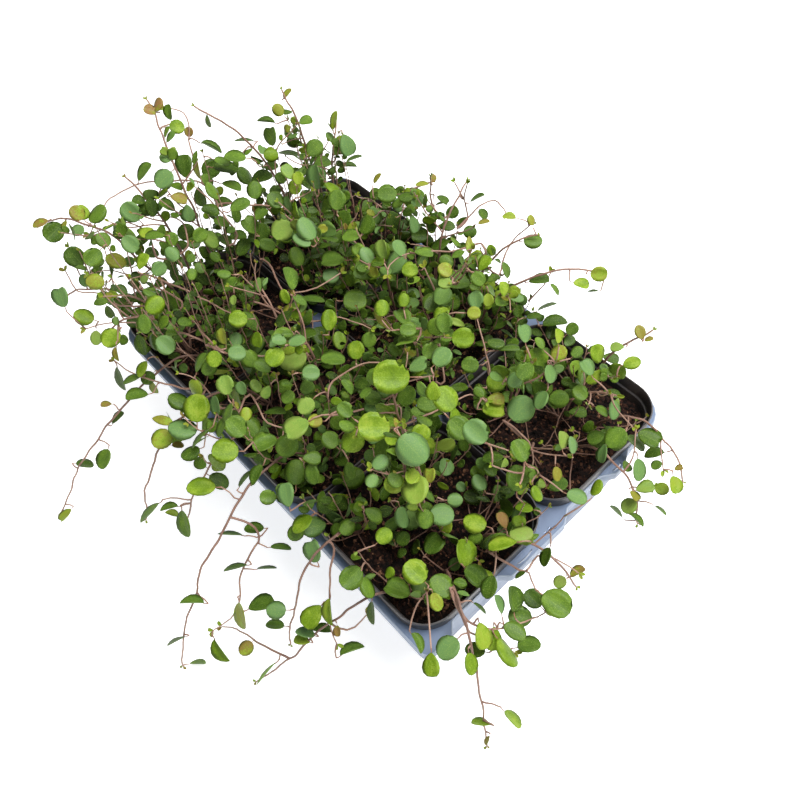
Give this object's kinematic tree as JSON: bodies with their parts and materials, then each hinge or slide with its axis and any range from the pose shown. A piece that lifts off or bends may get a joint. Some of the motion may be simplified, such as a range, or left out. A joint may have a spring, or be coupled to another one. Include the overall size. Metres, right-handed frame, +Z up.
{
  "type": "potted wire vine",
  "caption": "Climbing vine with thin wiry stems and small round leaves, growing in square nursery pots that stand in a carry tray with a flat base.",
  "frame": {"origin": "middle of the tray's underside, on the surface that it stands on", "axes": "+Z up, +X along the tray towards its near end, +Y across the tray"},
  "size_m": [0.3878, 0.3116, 0.1916],
  "materials": {
    "tray_plastic": "blue-grey moulded plastic, faint scuffs",
    "pot_plastic": "black moulded plastic, satin, dusty rim",
    "potting_soil": "moist dark brown peat with fibres",
    "vine": "waxy green leaves on reddish brown stems"
  },
  "bodies": {
    "root": {"carry_tray": "tray_plastic", "pot_1": "pot_plastic", "pot_2": "pot_plastic", "pot_3": "pot_plastic", "pot_4": "pot_plastic", "pot_5": "pot_plastic", "pot_6": "pot_plastic", "soil_1": "potting_soil", "soil_2": "potting_soil", "soil_3": "potting_soil", "soil_4": "potting_soil", "soil_5": "potting_soil", "soil_6": "potting_soil", "vine_1a": "vine", "vine_1b": "vine", "vine_1c": "vine", "vine_1d": "vine", "vine_1e": "vine", "vine_1f": "vine", "vine_2a": "vine", "vine_2b": "vine", "vine_2c": "vine", "vine_2d": "vine", "vine_2e": "vine", "vine_2f": "vine", "vine_3a": "vine", "vine_3b": "vine", "vine_3c": "vine", "vine_3d": "vine", "vine_3e": "vine", "vine_3f": "vine", "vine_4a": "vine", "vine_4b": "vine", "vine_4c": "vine", "vine_4d": "vine", "vine_4e": "vine", "vine_4f": "vine", "vine_5a": "vine", "vine_5b": "vine", "vine_5c": "vine", "vine_5d": "vine", "vine_5e": "vine", "vine_5f": "vine", "vine_6a": "vine", "vine_6b": "vine", "vine_6c": "vine", "vine_6d": "vine", "vine_6e": "vine", "vine_6f": "vine"}
  },
  "joints": []
}
